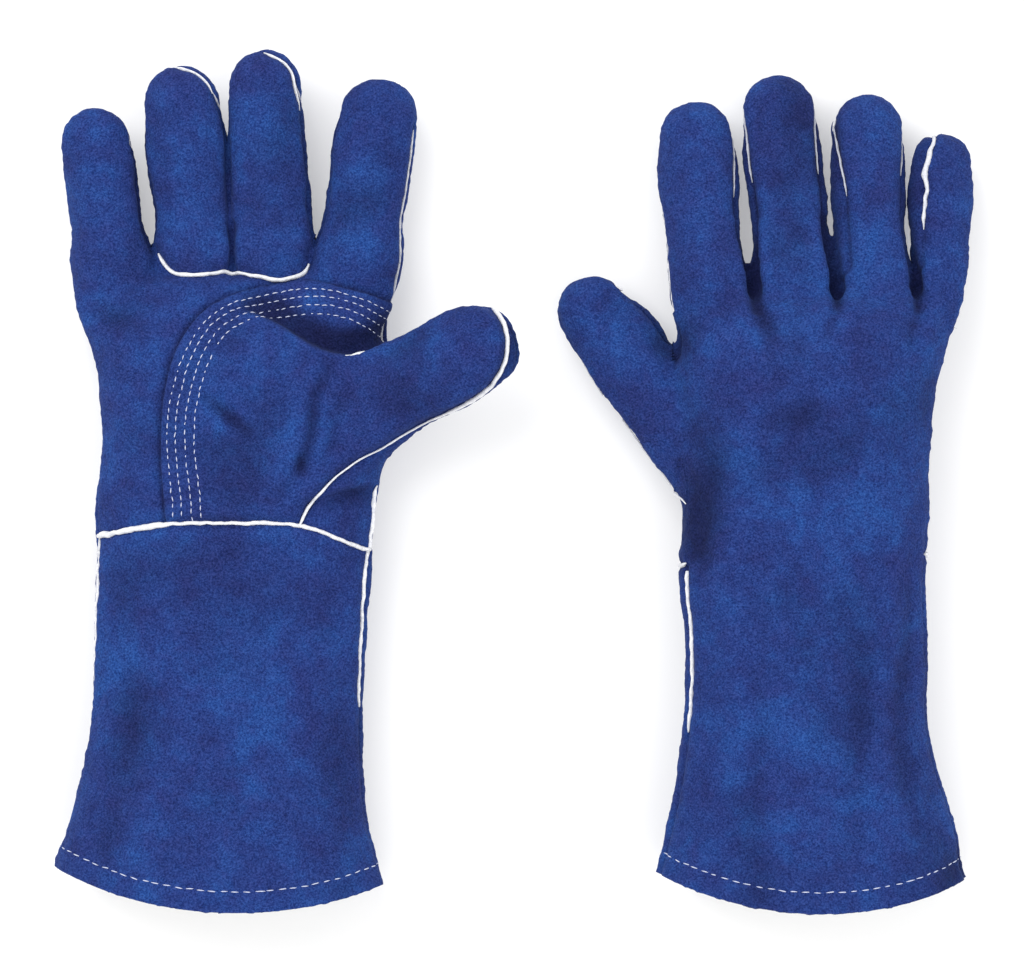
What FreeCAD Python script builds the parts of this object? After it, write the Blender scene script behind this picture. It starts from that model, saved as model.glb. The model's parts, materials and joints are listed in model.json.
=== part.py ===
"""Pair of split-leather welding gauntlets lying flat: one palm up, one palm down. Both fit the right hand.

Units are millimetres. Each glove is drawn in its own palm-up frame: +X towards the thumb, +Y towards the
fingertips, +Z out of the palm, with Y = 0 at the wrist seam. The palm-up glove is then only shifted into
the row frame, and the palm-down glove is turned half a turn about its length and shifted. In the row frame
the floor is Z = 0 and the origin is the middle of the pair's footprint.

A gauntlet is a hollow tube (cuff and hand) with four finger stalls and a thumb stall. Every stall and tube
is lofted at nested levels: outer leather, inner leather, inner lining. Leather and lining are the material
between two levels, and panels are those shells cut where the sewn seams and the bends are.
"""

import FreeCAD, Part
import os

from FreeCAD import Placement, Rotation, Vector

doc = FreeCAD.newDocument("welding_gloves")
sheet = doc.addObject("Spreadsheet::Sheet", "dims")

# ---------------------------------------------------------------- driving dimensions, millimetres and degrees

SHARED = {
    "leather": 1.6,  # split leather
    "lining": 1.8,  # cotton fleece inside it
    "proud": 1.5,  # height of the palm patch and of the welts above the leather
    "patch_side": -29.0,  # edge of the palm patch away from the thumb
    "patch_top": 102.0,  # edge of the palm patch towards the fingers
    "patch_round": 47.0,  # radius of the corner between those two edges
    "welt_wide": 2.4,  # width of the welt strips seen from outside
    "slit": 0.3,  # clearance between two leather solids that bend against each other
    "hinge_along": 118.0,  # where the finger stalls bend
    "welt_along": 106.8,  # where the welt across the finger bases starts
    "root_share": 0.8,  # width of a stall's start, hidden inside the hand, over its base
    "wall_share": 0.42,  # half height of a finger's side wall over its depth
    "wall_stop": 15.0,  # side walls end this far before the fingertip
}

# Cuff and hand as one tube: where each elliptical section is, its half width, half depth and centre height.
TUBE_KEYS = ("along", "across", "wide", "deep", "high")
TUBE = {
    "palmup": {
        "mouth": (-162.0, -6.5, 71.7, 31.5, 31.1),
        "flare": (-116.0, -5.4, 59.8, 28.6, 28.2),
        "cuff": (-78.0, -2.7, 56.5, 26.0, 25.6),
        "narrow": (-37.0, -1.4, 56.0, 24.0, 23.6),
        "wrist": (0.0, 0.7, 57.6, 24.0, 23.6),
        "palm": (50.0, 3.9, 58.2, 25.0, 24.6),
        "hollow": (75.0, 2.8, 60.9, 23.2, 22.8),
        "knuckle": (93.0, 0.6, 65.2, 21.0, 20.6),
        "cap": (106.0, 1.4, 66.6, 18.0, 17.6),
    },
    "palmdown": {
        "mouth": (-155.0, -5.2, 70.4, 33.0, -32.7),
        "flare": (-119.0, -5.0, 61.0, 31.0, -30.8),
        "cuff": (-78.0, -2.5, 51.6, 29.0, -30.0),
        "narrow": (-45.0, -2.9, 49.7, 28.0, -29.6),
        "wrist": (0.0, -0.4, 51.2, 28.0, -30.0),
        "palm": (50.0, -3.4, 51.2, 27.0, -31.0),
        "hollow": (75.0, -4.3, 54.2, 25.2, -30.6),
        "knuckle": (93.0, -5.8, 57.8, 23.0, -30.0),
        "cap": (106.0, -6.6, 61.0, 19.0, -28.0),
    },
}

# Finger and thumb stalls: place of the base, fan towards the thumb, pitch out of the palm, start inside the
# hand, length from the base, half widths at the base, at one third, at two thirds and where the round tip
# begins, and depth over width.
STALL_KEYS = ("across", "along", "high", "fan", "pitch")
STALL_KEYS += ("root", "length", "wide_base", "wide_low", "wide_mid", "wide_tip", "ratio")
STALL = {
    "palmup": {
        "little": (-49.0, 106.0, 17.6, -8.6, 4.0, -13.0, 70.2, 16.4, 15.4, 15.0, 14.4, 0.84),
        "ring": (-15.2, 106.0, 17.6, -5.6, 4.0, -13.0, 87.8, 14.0, 15.1, 16.6, 15.6, 0.84),
        "middle": (14.9, 106.0, 17.6, -1.4, 4.0, -13.0, 93.8, 14.6, 15.6, 15.4, 14.8, 0.84),
        "index": (49.0, 106.0, 17.6, 9.3, 4.0, -13.0, 83.4, 17.6, 17.2, 17.2, 15.9, 0.82),
        "thumb": (50.0, 49.0, 27.0, 64.0, 22.0, -20.0, 81.0, 18.6, 18.8, 18.0, 15.6, 0.80),
    },
    "palmdown": {
        "little": (-58.2, 106.0, -27.0, -1.8, 10.5, -13.0, 68.6, 10.2, 11.6, 13.2, 12.4, 0.90),
        "ring": (-32.4, 106.0, -28.0, 2.9, 10.5, -13.0, 85.2, 14.0, 15.2, 15.6, 14.6, 0.84),
        "middle": (1.8, 106.0, -28.0, 4.3, 10.5, -13.0, 94.4, 15.8, 16.0, 16.1, 15.1, 0.84),
        "index": (36.0, 106.0, -28.0, 5.6, 10.5, -13.0, 82.8, 16.2, 16.2, 15.8, 14.6, 0.84),
        "thumb": (40.0, 40.0, -21.0, 37.4, 4.0, -28.0, 90.4, 17.4, 17.4, 16.8, 14.8, 0.82),
    },
}

# Seams, bends and place of each glove.
GLOVE = {
    "palmup": {
        "side_seam": 27.0,  # height of the cuff's side seams
        "hand_seam": 18.0,  # height of the hand's side seams at the finger bend
        "hem_radius": 180.0,  # plan radius of the curved hem
        "hem_across": 3.7,
        "hem_along": 23.9,
        "thumb_hinge": 27.0,  # where the thumb stall bends, along the thumb
        "place_across": -118.21,
        "place_along": -21.68,
    },
    "palmdown": {
        "side_seam": -34.5,
        "hand_seam": -27.0,
        "hem_radius": 156.9,
        "hem_across": -7.5,
        "hem_along": 9.0,
        "thumb_hinge": 38.0,
        "place_across": 116.89,
        "place_along": -29.98,
    },
}

# How far each nested surface stands off the leather's outer face.
LEVELS = {
    "proud": "dims.proud",
    "outer": "0",
    "inner": "-dims.leather",
    "hollow": "-(dims.leather + dims.lining)",
}
DOME = (30, 55, 75, 88)  # degrees round the quarter circle that closes a fingertip
FAR = 300  # past the end of a glove, for cutting boxes
NEAR = 30  # past the side of a stall
LAID = "rotation(vector(1; 0; 0); -90)"  # turns a loft's +Z along the glove and its +Y into the back

values = dict(SHARED)
for glove in TUBE:
    for key, value in GLOVE[glove].items():
        values[f"{glove}_{key}"] = value
    for section, row in TUBE[glove].items():
        for key, value in zip(TUBE_KEYS, row):
            values[f"{glove}_{section}_{key}"] = value
    for stall, row in STALL[glove].items():
        for key, value in zip(STALL_KEYS, row):
            values[f"{glove}_{stall}_{key}"] = value
for line, (alias, value) in enumerate(values.items(), start=1):
    sheet.set(f"A{line}", alias)
    sheet.set(f"B{line}", str(value))
    sheet.setAlias(f"B{line}", alias)
doc.recompute()

# ---------------------------------------------------------------- helpers


def make(kind, name, **expressions):
    """An object with properties bound to expressions; x, y and z are its place."""
    thing = doc.addObject(f"Part::{kind}", name)
    for key, expression in expressions.items():
        thing.setExpression(f"Placement.Base.{key}" if key in "xyz" else key, expression)
    return thing


def boolean(kind, name, *shapes):
    """A Cut or Common of two objects, or a MultiFuse of several."""
    thing = doc.addObject(f"Part::{kind}", name)
    if kind == "MultiFuse":
        thing.Shapes = list(shapes)
    else:
        thing.Base, thing.Tool = shapes
    return thing


def loft(name, rows, frame):
    """A solid through ellipses, each given as x, y, z, half width and half depth in the frame."""
    rings = [
        make("Ellipse", f"{name}_ring{number}", x=x, y=y, z=z, MajorRadius=wide, MinorRadius=deep)
        for number, (x, y, z, wide, deep) in enumerate(rows)
    ]
    thing = make("Loft", name, Placement=frame)
    thing.Sections = rings
    thing.Solid = True
    thing.MaxDegree = 3
    return thing


def box(name, low, high, frame="placement(vector(0; 0; 0); rotation(vector(0; 0; 1); 0))"):
    """A cutting box between two corners given in a frame."""
    sizes = [f"({end}) - ({start})" for start, end in zip(low, high)]
    corner = "placement(vector({}; {}; {}); rotation(vector(0; 0; 1); 0))".format(*low)
    place = f"{frame} * {corner}"
    return make("Box", name, Length=sizes[0], Width=sizes[1], Height=sizes[2], Placement=place)


class Glove:
    """One gauntlet, with its lofts, its cutting zones and its finished nodes."""

    def __init__(self, name, turn):
        self.name = name
        self.turn = turn
        self.palm_is_up = turn == 0

    def size(self, key):
        return f"dims.{self.name}_{key}"

    def node(self, label, kind, *shapes):
        """A finished sub-part: a boolean with its own label, placed in the row frame."""
        thing = boolean(kind, f"{self.name}_{label}", *shapes)
        thing.Label = f"{self.name}_{label}"
        spot = f"vector({self.size('place_across')}; {self.size('place_along')}; 0)"
        thing.setExpression("Placement", f"placement({spot}; rotation(vector(0; 1; 0); {self.turn}))")
        nodes.append(thing)

    def tube(self, level):
        """Cuff and hand as one lofted tube at a level."""
        offset = LEVELS[level]
        rows = []
        for section in TUBE[self.name]:
            along, across, wide, deep, high = [self.size(f"{section}_{key}") for key in TUBE_KEYS]
            end = f"{along} + {offset}" if section == "cap" else along
            rows.append((across, f"-{high}", end, f"{wide} + {offset}", f"{deep} + {offset}"))
        return loft(f"{self.name}_tube_{level}", rows, f"placement(vector(0; 0; 0); {LAID})")

    def stall_frame(self, stall):
        """A finger or thumb's own frame: +Z along it, -Y out of the palm, origin at its base."""
        across, along, high, fan, pitch = [self.size(f"{stall}_{key}") for key in STALL_KEYS[:5]]
        aim = f"rotation(vector(0; 0; 1); -{fan}) * rotation(vector(1; 0; 0); {pitch} - 90)"
        return f"placement(vector({across}; {along}; {high}); {aim})"

    def stall(self, stall, level):
        """A finger or thumb as one lofted tube with a domed tip, at a level."""
        offset = LEVELS[level]
        root, length, base, low, mid, tip, ratio = [self.size(f"{stall}_{key}") for key in STALL_KEYS[5:]]
        stations = [
            (root, f"{base} * dims.root_share"),
            ("0", base),
            (f"{length} / 3", low),
            (f"{length} * 2 / 3", mid),
            (f"{length} - {tip}", tip),
        ]
        rows = [("0", "0", z, f"{wide} + {offset}", f"{wide} * {ratio} + {offset}") for z, wide in stations]
        for angle in DOME:
            rise = f"{length} - {tip} + ({tip} + {offset}) * sin({angle})"
            wide = f"({tip} + {offset}) * cos({angle})"
            deep = f"({tip} * {ratio} + {offset}) * cos({angle})"
            rows.append(("0", "0", rise, wide, deep))
        return loft(f"{self.name}_{stall}_{level}", rows, self.stall_frame(stall))

    def zones(self):
        """The cutting solids: the floor's side of the glove, cuff and hand, palm side and back side."""
        seam = self.size("side_seam")
        drop = f"{self.size('hand_seam')} - {seam}"
        tilt = f"rotation(vector(1; 0; 0); atan(({drop}) / dims.hinge_along))"
        slope = f"placement(vector(0; 0; {seam}); {tilt})"
        floor_low = "0" if self.palm_is_up else -FAR
        floor_high = FAR if self.palm_is_up else "0"
        wrist = "dims.slit / 2"
        bend = "dims.hinge_along - dims.slit / 2"
        half_welt = "dims.welt_wide / 2"
        tag = self.name
        hem = make("Cylinder", f"{tag}_hem", Radius=self.size("hem_radius"), Height=str(2 * FAR),
                   x=self.size("hem_across"), y=self.size("hem_along"), z=str(-FAR))
        cuff = box(f"{tag}_cuff", (-FAR, -FAR, floor_low), (FAR, f"-{wrist}", floor_high))
        hand = box(f"{tag}_hand", (-FAR, wrist, floor_low), (FAR, bend, floor_high))
        palm_side = box(f"{tag}_palm_side", (-FAR, -FAR, 0), (FAR, FAR, FAR), slope)
        level_side = box(f"{tag}_level_side", (-FAR, -FAR, seam), (FAR, FAR, FAR))
        band = box(f"{tag}_band", (-FAR, -FAR, f"{seam} - {half_welt}"), (FAR, FAR, f"{seam} + {half_welt}"))
        fingers = "dims.hinge_along + dims.slit / 2"
        self.beyond = box(f"{tag}_beyond", (-FAR, fingers, floor_low), (FAR, FAR, floor_high))
        self.cuff = boolean("Common", f"{tag}_cuff_zone", cuff, hem)
        self.cuff_front = boolean("Common", f"{tag}_cuff_front_zone", self.cuff, level_side)
        self.cuff_back = boolean("Cut", f"{tag}_cuff_back_zone", self.cuff, level_side)
        self.cuff_band = boolean("Common", f"{tag}_cuff_band_zone", self.cuff, band)
        self.hand = hand
        self.hand_front = boolean("Common", f"{tag}_hand_front_zone", hand, palm_side)
        self.hand_back = boolean("Cut", f"{tag}_hand_back_zone", hand, palm_side)

    def lofts(self):
        self.tubes = {level: self.tube(level) for level in LEVELS}
        self.stalls = {
            (stall, level): self.stall(stall, level) for stall in STALL[self.name] for level in LEVELS
        }

    def fused(self, name, level, *stalls):
        """The tube and some of the stalls as one solid at a level."""
        shapes = [self.tubes[level]] + [self.stalls[stall, level] for stall in stalls]
        return boolean("MultiFuse", f"{self.name}_{name}", *shapes)

    def make_cuff(self):
        tubes = self.tubes
        shell = boolean("Cut", f"{self.name}_tube_leather", tubes["outer"], tubes["inner"])
        fleece = boolean("Cut", f"{self.name}_tube_fleece", tubes["inner"], tubes["hollow"])
        ridge = boolean("Cut", f"{self.name}_tube_ridge", tubes["proud"], tubes["outer"])
        self.node("cuff_front", "Common", shell, self.cuff_front)
        self.node("cuff_back", "Common", shell, self.cuff_back)
        self.node("cuff_side_welts", "Common", ridge, self.cuff_band)
        self.node("cuff_lining", "Common", fleece, self.cuff)

    def make_hand(self):
        tag = self.name
        frame = self.stall_frame("thumb")
        bend = self.size("thumb_hinge")
        cut = f"{bend} - dims.slit / 2"
        thumb_beyond = box(f"{tag}_thumb_off", (-NEAR, -NEAR, cut), (NEAR, NEAR, FAR), frame)
        outside = self.fused("hand_outside", "outer", *FINGERS)
        inside = self.fused("hand_inside", "inner", *STALL[tag])
        hollow = self.fused("hand_hollow", "hollow", *STALL[tag])
        shell = boolean("Cut", f"{tag}_hand_leather", outside, inside)
        self.node("palm_panel", "Common", shell, self.hand_front)
        self.node("hand_back", "Common", shell, self.hand_back)
        fleece = boolean("Cut", f"{tag}_hand_fleece", inside, hollow)
        room = boolean("Cut", f"{tag}_hand_room", self.hand, thumb_beyond)
        self.node("hand_lining", "Common", fleece, room)
        around = self.fused("thumb_around", "outer")
        around.Shapes = [self.tubes["outer"], self.stalls["thumb", "inner"]]
        gusset = boolean("Cut", f"{tag}_thumb_gusset", self.stalls["thumb", "outer"], around)
        self.node("thumb_root", "Common", gusset, room)
        self.make_patch(room)
        self.make_welts()

    def make_patch(self, room):
        """The reinforcing patch over palm and thumb root, with one rounded corner."""
        tag = self.name
        foot = "dims.slit / 2 + dims.welt_wide + dims.slit"
        across = "dims.patch_side + dims.patch_round"
        along = "dims.patch_top - dims.patch_round"
        corner = make("Cylinder", f"{tag}_patch_corner", Radius="dims.patch_round", Height=str(2 * FAR),
                      x=across, y=along, z=str(-FAR))
        wide = box(f"{tag}_patch_wide", ("dims.patch_side", foot, -FAR), (FAR, along, FAR))
        tall = box(f"{tag}_patch_tall", (across, foot, -FAR), (FAR, "dims.patch_top", FAR))
        outline = boolean("MultiFuse", f"{tag}_patch_outline", corner, wide, tall)
        front = boolean("Common", f"{tag}_patch_front", self.hand_front, room)
        zone = boolean("Common", f"{tag}_patch_zone", front, outline)
        raised = self.fused("patch_raised", "proud", "thumb")
        under = self.fused("patch_under", "outer", *STALL[tag])
        layer = boolean("Cut", f"{tag}_patch_layer", raised, under)
        self.node("palm_patch", "Common", layer, zone)

    def make_welts(self):
        """Welt strips across the wrist and across the bases of the two middle fingers, on the palm side."""
        tag = self.name
        start = "dims.slit / 2"
        wrist_band = box(f"{tag}_wrist_band", (-FAR, start, -FAR), (FAR, f"{start} + dims.welt_wide", FAR))
        finger_band = box(f"{tag}_finger_band", (-FAR, "dims.welt_along", -FAR),
                          (FAR, "dims.welt_along + dims.welt_wide", FAR))
        bands = boolean("MultiFuse", f"{tag}_welt_bands", wrist_band, finger_band)
        zone = boolean("Common", f"{tag}_welt_zone", self.hand_front, bands)
        raised = self.fused("welt_raised", "proud", "ring", "middle")
        under = self.fused("welt_under", "outer", *FINGERS)
        layer = boolean("Cut", f"{tag}_welt_layer", raised, under)
        self.node("seam_welts", "Common", layer, zone)

    def make_thumb(self):
        tag = self.name
        stalls = self.stalls
        frame = self.stall_frame("thumb")
        start = f"{self.size('thumb_hinge')} + dims.slit / 2"
        half_welt = "dims.welt_wide / 2"
        front = box(f"{tag}_thumb_front_zone", (-NEAR, -NEAR, start), (NEAR, 0, FAR), frame)
        back = box(f"{tag}_thumb_back_zone", (-NEAR, 0, start), (NEAR, NEAR, FAR), frame)
        whole = box(f"{tag}_thumb_zone", (-NEAR, -NEAR, start), (NEAR, NEAR, FAR), frame)
        band = box(f"{tag}_thumb_band", (-NEAR, f"-{half_welt}", start), (NEAR, half_welt, FAR), frame)
        shell = boolean("Cut", f"{tag}_thumb_leather", stalls["thumb", "outer"], stalls["thumb", "inner"])
        fleece = boolean("Cut", f"{tag}_thumb_fleece", stalls["thumb", "inner"], stalls["thumb", "hollow"])
        ridge = boolean("Cut", f"{tag}_thumb_ridge", stalls["thumb", "proud"], stalls["thumb", "outer"])
        self.node("thumb_front", "Common", shell, front)
        self.node("thumb_back", "Common", shell, back)
        self.node("thumb_welt", "Common", ridge, band)
        self.node("thumb_lining", "Common", fleece, whole)

    def make_finger(self, finger, inner_sides):
        """Front, back, lining and the side walls that face the finger's neighbours."""
        tag = f"{self.name}_{finger}"
        frame = self.stall_frame(finger)
        half = f"{self.size(f'{finger}_wide_mid')} * {self.size(f'{finger}_ratio')} * dims.wall_share"
        stop = f"{self.size(f'{finger}_length')} - dims.wall_stop"
        walls = []
        for side in inner_sides:
            low, high = (0, NEAR) if side > 0 else (-NEAR, 0)
            walls.append(box(f"{tag}_wall{len(walls)}", (low, f"-{half}", -NEAR), (high, half, stop), frame))
        wall_zone = walls[0] if len(walls) == 1 else boolean("MultiFuse", f"{tag}_wall_pair", *walls)
        palm_half = box(f"{tag}_palm_half", (-NEAR, -NEAR, -NEAR), (NEAR, 0, FAR), frame)
        back_half = box(f"{tag}_back_half", (-NEAR, 0, -NEAR), (NEAR, NEAR, FAR), frame)
        shell = boolean("Cut", f"{tag}_leather", self.stalls[finger, "outer"], self.stalls[finger, "inner"])
        fleece = boolean("Cut", f"{tag}_fleece", self.stalls[finger, "inner"], self.stalls[finger, "hollow"])
        for label, half_zone in (("front", palm_half), ("back", back_half)):
            panel = boolean("Cut", f"{tag}_{label}_half", half_zone, wall_zone)
            zone = boolean("Common", f"{tag}_{label}_zone", panel, self.beyond)
            self.node(f"{finger}_{label}", "Common", shell, zone)
        zone = boolean("Common", f"{tag}_walls_zone", wall_zone, self.beyond)
        self.node(f"{finger}_walls", "Common", shell, zone)
        self.node(f"{finger}_lining", "Common", fleece, self.beyond)

    def build(self):
        self.lofts()
        self.zones()
        self.make_cuff()
        self.make_hand()
        self.make_thumb()
        for finger, inner_sides in FINGERS.items():
            self.make_finger(finger, inner_sides)


# ---------------------------------------------------------------- the pair

# Each finger's sides that face another finger: -1 away from the thumb, +1 towards it.
FINGERS = {"little": (1,), "ring": (-1, 1), "middle": (-1, 1), "index": (-1,)}

nodes = []
for name, turn in (("palmup", 0), ("palmdown", 180)):
    Glove(name, turn).build()
doc.recompute()

for thing in doc.Objects:
    if "Invalid" in thing.State or "Error" in thing.State:
        raise RuntimeError(f"{thing.Name} failed: {thing.State}")
for thing in nodes:
    if thing.Shape.isNull() or not thing.Shape.isValid() or not thing.Shape.Solids:
        raise RuntimeError(f"{thing.Label} has no sound shape")

os.makedirs("parts", exist_ok=True)
for thing in nodes:
    thing.Shape.exportStep(f"parts/{thing.Label}.step")
    print(f"{thing.Label}: {len(thing.Shape.Solids)} solids, {thing.Shape.Volume / 1000:.1f} cm3")
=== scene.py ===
"""Two split-leather welding gauntlets, one palm up and one palm down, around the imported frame.

Each glove is one smooth surface, made from the same lofted tube and stalls as its CAD solids. It is cut into
its leather panels along the seams, given its folds, and thickened. Lengths are in millimetres in the glove's
own palm-up frame, +X towards the thumb, +Y towards the fingertips and +Z out of the palm, with the wrist seam
at Y = 0, and pieces are put into the row frame, in metres, as they are made.
"""

import json
import math
from collections import namedtuple
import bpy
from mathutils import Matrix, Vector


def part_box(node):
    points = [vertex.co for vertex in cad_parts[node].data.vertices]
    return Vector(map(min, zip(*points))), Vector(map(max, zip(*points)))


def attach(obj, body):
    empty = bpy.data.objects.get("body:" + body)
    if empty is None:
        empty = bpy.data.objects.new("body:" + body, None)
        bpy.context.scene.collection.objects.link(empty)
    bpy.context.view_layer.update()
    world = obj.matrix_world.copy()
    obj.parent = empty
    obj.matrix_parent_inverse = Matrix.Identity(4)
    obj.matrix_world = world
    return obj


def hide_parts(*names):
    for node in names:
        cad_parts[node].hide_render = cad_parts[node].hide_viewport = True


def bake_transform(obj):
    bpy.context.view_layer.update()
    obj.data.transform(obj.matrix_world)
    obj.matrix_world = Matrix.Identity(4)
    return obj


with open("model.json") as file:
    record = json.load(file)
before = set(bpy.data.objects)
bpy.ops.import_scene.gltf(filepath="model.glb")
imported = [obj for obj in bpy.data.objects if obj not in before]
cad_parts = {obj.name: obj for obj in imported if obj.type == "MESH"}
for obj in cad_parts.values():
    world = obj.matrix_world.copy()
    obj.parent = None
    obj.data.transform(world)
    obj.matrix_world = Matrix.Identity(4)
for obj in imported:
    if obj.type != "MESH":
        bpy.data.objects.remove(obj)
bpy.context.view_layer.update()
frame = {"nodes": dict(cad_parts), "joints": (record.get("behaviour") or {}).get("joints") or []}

from types import SimpleNamespace

import bpy
import numpy as np
from mathutils import Vector

# ---- sizes, in millimetres and degrees

# Cuff and hand as one tube: along, across, half width, half depth and height of each section, as in the CAD.
TUBE = {
    "palmup": (
        (-162, -6.5, 71.7, 31.5, 31.1),
        (-116, -5.4, 59.8, 28.6, 28.2),
        (-78, -2.7, 56.5, 26, 25.6),
        (-37, -1.4, 56, 24, 23.6),
        (0, 0.7, 57.6, 24, 23.6),
        (50, 3.9, 58.2, 25, 24.6),
        (75, 2.8, 60.9, 23.2, 22.8),
        (93, 0.6, 65.2, 21, 20.6),
        (106, 1.4, 66.6, 18, 17.6),
    ),
    "palmdown": (
        (-155, -5.2, 70.4, 33, -32.7),
        (-119, -5, 61, 31, -30.8),
        (-78, -2.5, 51.6, 29, -30),
        (-45, -2.9, 49.7, 28, -29.6),
        (0, -0.4, 51.2, 28, -30),
        (50, -3.4, 51.2, 27, -31),
        (75, -4.3, 54.2, 25.2, -30.6),
        (93, -5.8, 57.8, 23, -30),
        (106, -6.6, 61, 19, -28),
    ),
}

# A finger's or thumb's tube: its base, its fan towards the thumb, its pitch out of the palm, where along
# itself it starts, its length, half widths at its base, thirds and tip, and depth over width.
Stall = namedtuple("Stall", "across along high fan pitch root length base third two_thirds tip ratio")
STALL = {
    "palmup": {
        "little": Stall(-49, 106, 17.6, -8.6, 4, -13, 70.2, 16.4, 15.4, 15, 14.4, 0.84),
        "ring": Stall(-15.2, 106, 17.6, -5.6, 4, -13, 87.8, 14, 15.1, 16.6, 15.6, 0.84),
        "middle": Stall(14.9, 106, 17.6, -1.4, 4, -13, 93.8, 14.6, 15.6, 15.4, 14.8, 0.84),
        "index": Stall(49, 106, 17.6, 9.3, 4, -13, 83.4, 17.6, 17.2, 17.2, 15.9, 0.82),
        "thumb": Stall(50, 49, 27, 64, 22, -20, 81, 18.6, 18.8, 18, 15.6, 0.80),
    },
    "palmdown": {
        "little": Stall(-58.2, 106, -27, -1.8, 10.5, -13, 68.6, 10.2, 11.6, 13.2, 12.4, 0.90),
        "ring": Stall(-32.4, 106, -28, 2.9, 10.5, -13, 85.2, 14, 15.2, 15.6, 14.6, 0.84),
        "middle": Stall(1.8, 106, -28, 4.3, 10.5, -13, 94.4, 15.8, 16, 16.1, 15.1, 0.84),
        "index": Stall(36, 106, -28, 5.6, 10.5, -13, 82.8, 16.2, 16.2, 15.8, 14.6, 0.84),
        "thumb": Stall(40, 40, -21, 37.4, 4, -28, 90.4, 17.4, 17.4, 16.8, 14.8, 0.82),
    },
}
STALLS = tuple(STALL["palmup"])
FINGERS = STALLS[:4]
ON_HAND = ("palm_panel", "hand_back", "thumb_root", "palm_patch")  # leather that rides on the hand
WALLED = {"little": (1,), "ring": (-1, 1), "middle": (-1, 1), "index": (-1,)}  # sides with a side wall
# How much fuller the leather is than the CAD's stall, on the stall's -u and +u sides.
FULLER = {
    "palmup": {"little": (0, -1.8), "ring": (0.6, 0.4), "middle": (0, 1.4), "index": (-2.5, 0)},
    "palmdown": {"little": (0, -0.4), "ring": (-3.2, 1), "middle": (0.3, -0.7), "index": (-2.2, 0)},
}
# Places where the leather stands out from the CAD's form, or in: across, along, radius and how far.
NUDGES = {
    "palmup": (
        (-57, 62, 14, 1.5), (-57, 15, 15, 2), (66, 31, 12, 2), (67, 88, 12, -1.4), (-72, -137, 9, 2.5),
        (119, 77, 15, -1.6), (98, 92, 11, 1.2),
    ),
    "palmdown": ((51, 9, 17, -3.2), (-52, 8, 16, 1.8), (52, 86, 8, -2), (-68, -132, 11, -3)),
}
# Folds: the side of the glove that they are in, depth, half width (or left and right ones) and plan line.
FOLDS = {
    "palmup": (
        (1, 6, (8, 2.2), ((3, 93), (12, 91), (21.5, 86.5), (29.3, 81.5), (38.3, 77), (48, 75), (58, 77),
                              (66, 81), (76, 86))),
        (1, 1.9, 2.6, ((-13, 57), (-4, 50), (2, 45), (9, 39.5))),
        (1, 2.8, 2.8, ((43, 73), (39.5, 64), (35, 56), (34, 47), (33, 39), (30, 29), (24, 19), (18, 14))),
        (1, 1.8, 5, ((52, 62), (44, 50), (41, 38), (37, 24))),
        (1, 2.4, (1.6, 7), ((27, 10), (34.5, 12), (46, 15.5), (57, 17.5), (64, 18))),
        (1, 1.4, 3, ((24, 34), (30, 25), (31, 15))),
        (1, 3.4, 2.2, ((-0.9, 130), (-0.8, 120), (-0.6, 112), (-0.4, 106))),
        (1, 1, 5, ((-62, 96), (-48, 88), (-36, 84))),
        (1, 0.9, 4, ((-60, 64), (-47, 61), (-35, 63))),
        (1, 0.9, 7, ((-46, -18), (-42, -60), (-47, -110), (-56, -150))),
        (1, 0.8, 8, ((36, -22), (41, -65), (44, -110), (52, -150))),
    ),
    "palmdown": (
        (-1, 1.6, 3.6, ((19, 112), (18, 102), (14, 92), (12, 84))),
        (-1, 1.8, 3.6, ((-15, 112), (-15, 102), (-12, 93), (-9, 84))),
        (-1, 1.8, 3.6, ((-48, 112), (-49, 102), (-46, 92), (-44, 82))),
        (-1, 3.2, 2.4, ((22.6, 140), (20.8, 124), (19.3, 112), (18.4, 98))),
        (-1, 3.2, 2.4, ((-11.4, 140), (-13.4, 124), (-15, 112), (-15.6, 98))),
        (-1, 3.2, 2.4, ((-44, 140), (-46.2, 124), (-48, 112), (-48.8, 98))),
        (-1, 1.3, 5, ((-41, 6), (-46, -30), (-40, -70), (-50, -130))),
        (-1, 0.9, 6, ((-22, -20), (-26, -60), (-22, -100), (-28, -140))),
        (-1, 1.2, 6, ((44, 66), (38, 40), (42, 12), (40, -20))),
        (-1, 0.8, 7, ((20, -30), (17, -70), (21, -110), (18, -145))),
        (-1, 0.9, 5, ((-10, 62), (4, 55), (20, 56))),
    ),
}
SIDE_SEAM = {"palmup": (27, 18), "palmdown": (-36, -27)}  # height along the cuff, and at the fingers
HEM = {"palmup": (3.7, 23.9, 180), "palmdown": (-7.5, 9, 156.9)}  # centre and radius of the hem's arc
THUMB_CUT = {"palmup": 20, "palmdown": 36.0}  # where the thumb's own pieces start along it

CELL = 1.25  # spacing of the leather's surface points, and of the trim's and the lining's
TRIM_CELL = 2.0
LINING_CELL = 2.4
LEATHER = 1.5  # thickness
PATCH = 1.6  # how far the palm patch stands off the palm
LINING_GAP = 3.2  # from the leather's face to the lining's
LINING_HEM = 5.0  # from the hem to the lining's edge
FLEECE = 1.1  # the lining's thickness
FINGER_CUT = 111.0  # fingers' own pieces start here along the glove
FINGER_BENT = 134.0  # and the far end of the fingers' joint span, for bend
CUFF_CUT = -8.0  # cuff pieces start below here
CUFF_BENT = -62.0  # and the far end of the cuff's joint span, for bend
THUMB_REACH = 24.0  # length of the thumb's bend
THUMB_SKIN = 1.6  # how far outside the thumb's own tube its pieces still reach
WALL = 5.4  # half height of the side walls between fingers
FLOOR_GAP = 0.06  # least height of the leather's face above the floor
CAP_JOIN = 10.0  # rounding of the tube's end at the knuckles
SOLE_JOIN = 2.0  # rounding of the edge round what lies on the floor
NORMAL_STEP = 0.4  # over which the field's slope is taken
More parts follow.
